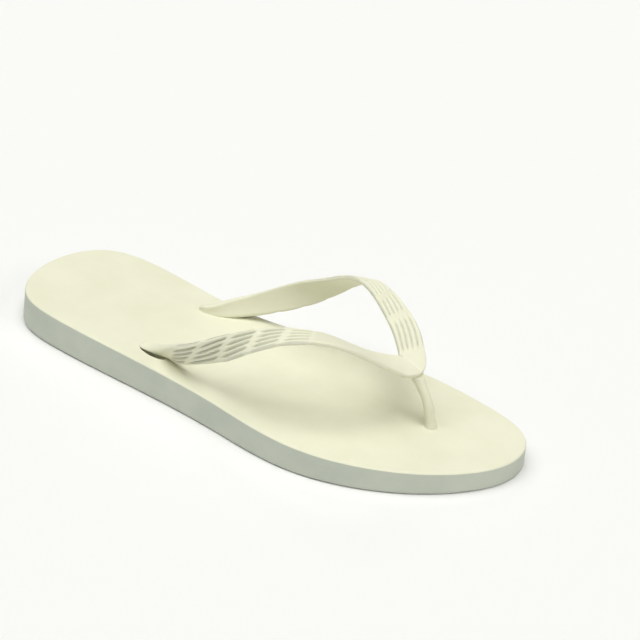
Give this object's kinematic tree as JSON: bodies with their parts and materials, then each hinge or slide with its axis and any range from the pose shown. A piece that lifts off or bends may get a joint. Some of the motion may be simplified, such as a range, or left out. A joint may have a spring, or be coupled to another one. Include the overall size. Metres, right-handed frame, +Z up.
{
  "type": "flip flop",
  "caption": "Right-foot rubber flip flop: a flat sole that bends at the ball of the foot, a V-shaped thong strap, a toe post and round anchor plugs under the sole.",
  "frame": {"origin": "middle of the sole's outline, on the ground", "axes": "+X towards the toe, +Y towards the big-toe side, +Z up from the ground to the strap"},
  "size_m": [0.2634, 0.1003, 0.0583],
  "materials": {
    "footbed": "soft matte ivory rubber with a faint grain",
    "outsole": "soft matte ivory rubber, ribbed tread underneath",
    "strap": "satin ivory rubber with raised lengthwise ribs",
    "toe_post": "satin ivory rubber",
    "plug": "smooth satin ivory rubber"
  },
  "bodies": {
    "rear": {"footbed_rear": "footbed", "outsole_rear": "outsole", "strap_lateral_arm": "strap", "strap_medial_arm": "strap", "lateral_plug": "plug", "medial_plug": "plug"},
    "forefoot": {"footbed_front": "footbed", "outsole_front": "outsole", "strap_yoke": "strap", "toe_post": "toe_post", "toe_plug": "plug"}
  },
  "joints": [
    {"name": "sole_flex", "type": "hinge", "parent": "rear", "child": "forefoot", "pos_m": [0.042, 0, 0.0136], "axis": [0, -1, 0], "range_deg": [0, 30], "stiffness_Nm_per_rad": 1.7, "deforming": ["strap_lateral_arm", "strap_medial_arm"]}
  ]
}
